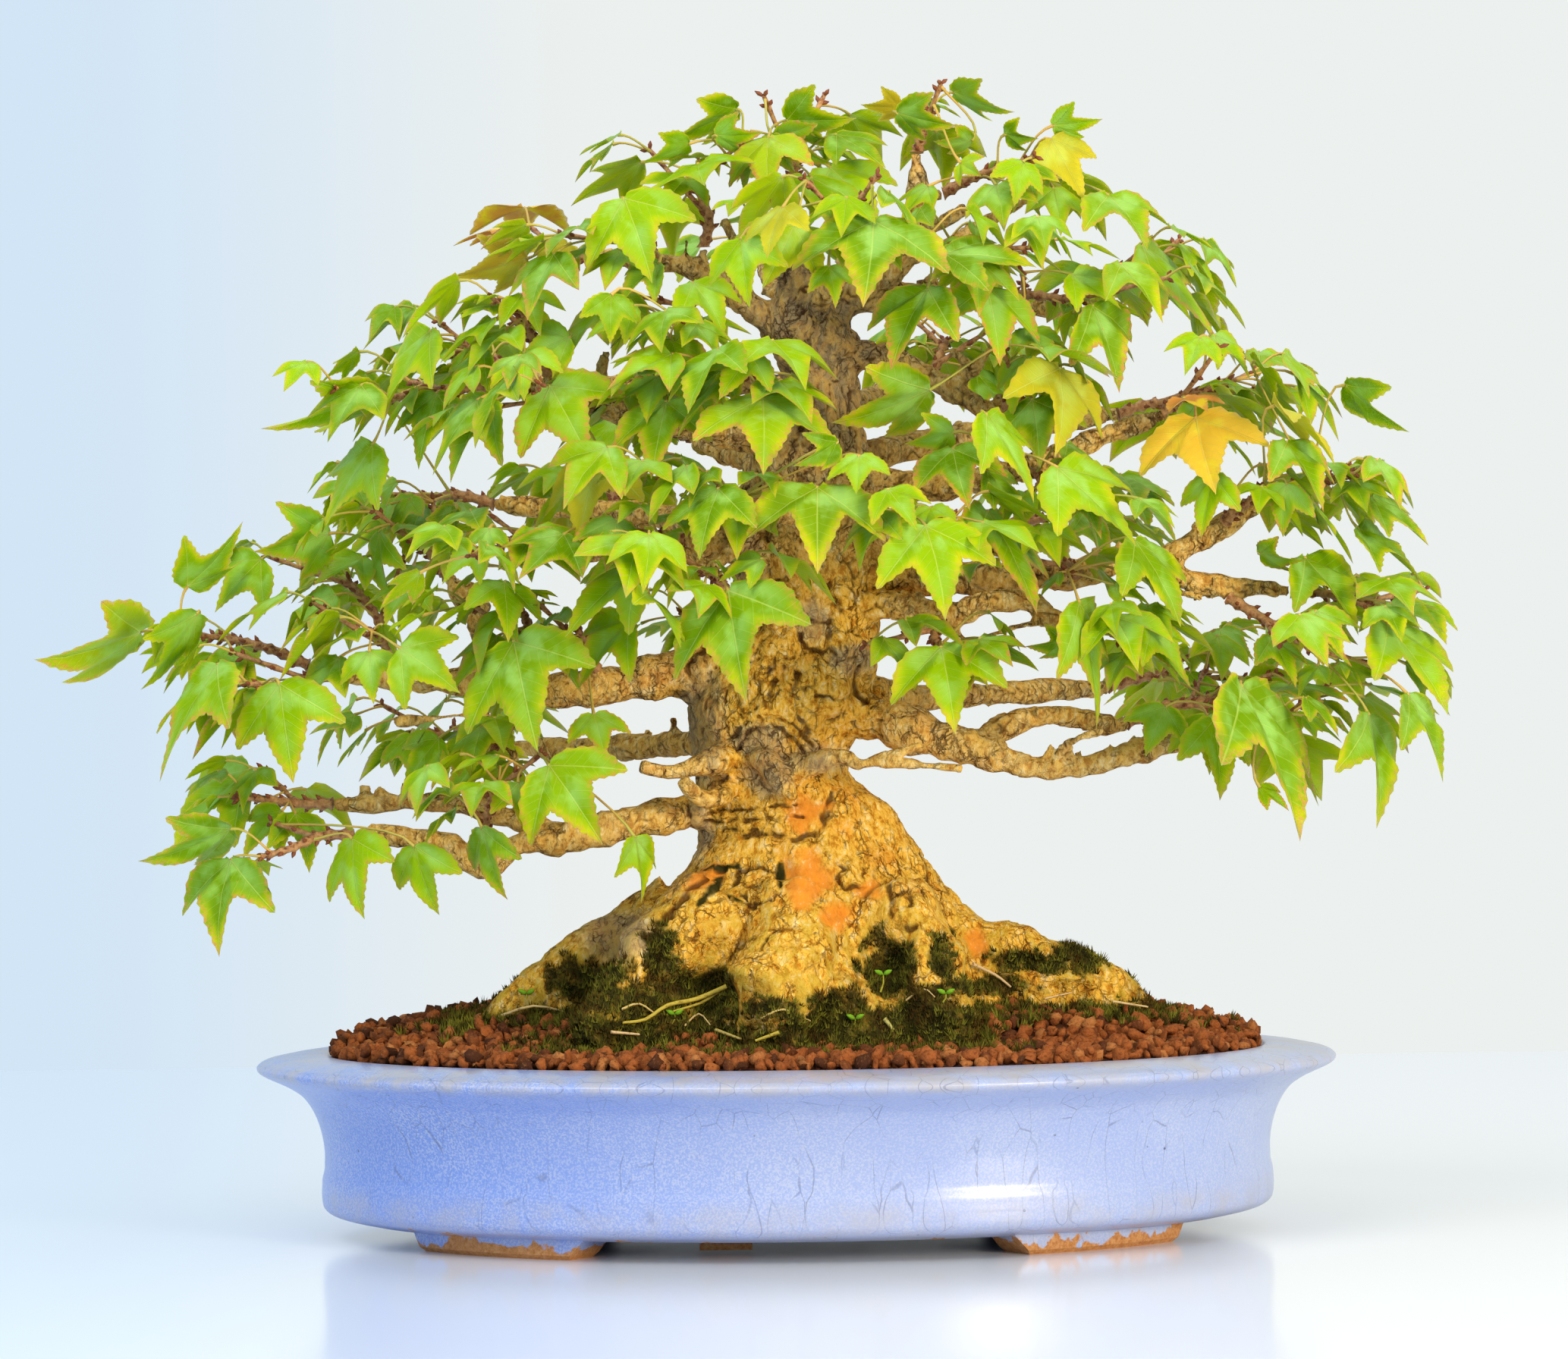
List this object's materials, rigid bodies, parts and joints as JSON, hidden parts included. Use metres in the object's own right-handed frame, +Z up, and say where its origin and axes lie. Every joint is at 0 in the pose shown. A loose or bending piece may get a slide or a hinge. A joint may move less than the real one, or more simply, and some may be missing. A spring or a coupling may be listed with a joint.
{
  "type": "potted bonsai tree",
  "caption": "Miniature three-lobed-leaf maple with flared roots and layered leafy branches, planted in a shallow oval glazed pot with bracket feet.",
  "frame": {"origin": "middle of the whole object's box, on the plane the feet stand on", "axes": "+X along the pot's long side, to the right as seen from the front; +Y from the front to the back; +Z up"},
  "size_m": [0.4994, 0.2866, 0.4138],
  "materials": {
    "glazed_pot": "glossy mottled blue glaze with fine crackle",
    "soil": "rough baked-clay granules",
    "drain_screen": "plain black",
    "bark": "rough flaking bark",
    "leaf": "satin green leaf"
  },
  "bodies": {
    "root": {"drain_screen_left": "drain_screen", "drain_screen_right": "drain_screen", "pot": "glazed_pot", "soil": "soil", "spray_back_crown_tip": "leaf", "spray_back_left_tip": "leaf", "spray_back_low_left_tip": "leaf", "spray_back_low_right_tip": "leaf", "spray_back_low_tip": "leaf", "spray_back_right_tip": "leaf", "spray_back_third_right_tip": "leaf", "spray_back_upper_tip": "leaf", "spray_crown_front": "leaf", "spray_crown_right_front": "leaf", "spray_crown_right_side": "leaf", "spray_crown_right_top": "leaf", "spray_crown_top": "leaf", "spray_front_low_tip": "leaf", "spray_front_mid_tip": "leaf", "spray_front_right_tip": "leaf", "spray_front_upper_tip": "leaf", "spray_left_back_inner": "leaf", "spray_left_back_tip": "leaf", "spray_left_low_fork_tip": "leaf", "spray_left_low_front": "leaf", "spray_left_low_riser": "leaf", "spray_left_low_tip": "leaf", "spray_left_main_front": "leaf", "spray_left_main_inner": "leaf", "spray_left_main_near": "leaf", "spray_left_main_rise": "leaf", "spray_left_main_star": "leaf", "spray_left_main_tip": "leaf", "spray_left_mid_front": "leaf", "spray_left_mid_tip": "leaf", "spray_left_riser_tip": "leaf", "spray_left_shoulder_front": "leaf", "spray_left_shoulder_low": "leaf", "spray_left_shoulder_rise": "leaf", "spray_left_shoulder_tip": "leaf", "spray_left_upper_back_tip": "leaf", "spray_left_upper_front": "leaf", "spray_left_upper_inner": "leaf", "spray_left_upper_rise": "leaf", "spray_left_upper_tip": "leaf", "spray_right_low_fork_tip": "leaf", "spray_right_low_tip": "leaf", "spray_right_main_front": "leaf", "spray_right_main_low": "leaf", "spray_right_main_tip": "leaf", "spray_right_riser_front": "leaf", "spray_right_riser_tip": "leaf", "spray_right_second_front": "leaf", "spray_right_second_tip": "leaf", "spray_right_shoulder_front": "leaf", "spray_right_shoulder_tip": "leaf", "spray_right_third_front": "leaf", "spray_right_third_tip": "leaf", "spray_right_upper_tip": "leaf", "trunk": "bark"}
  },
  "joints": []
}
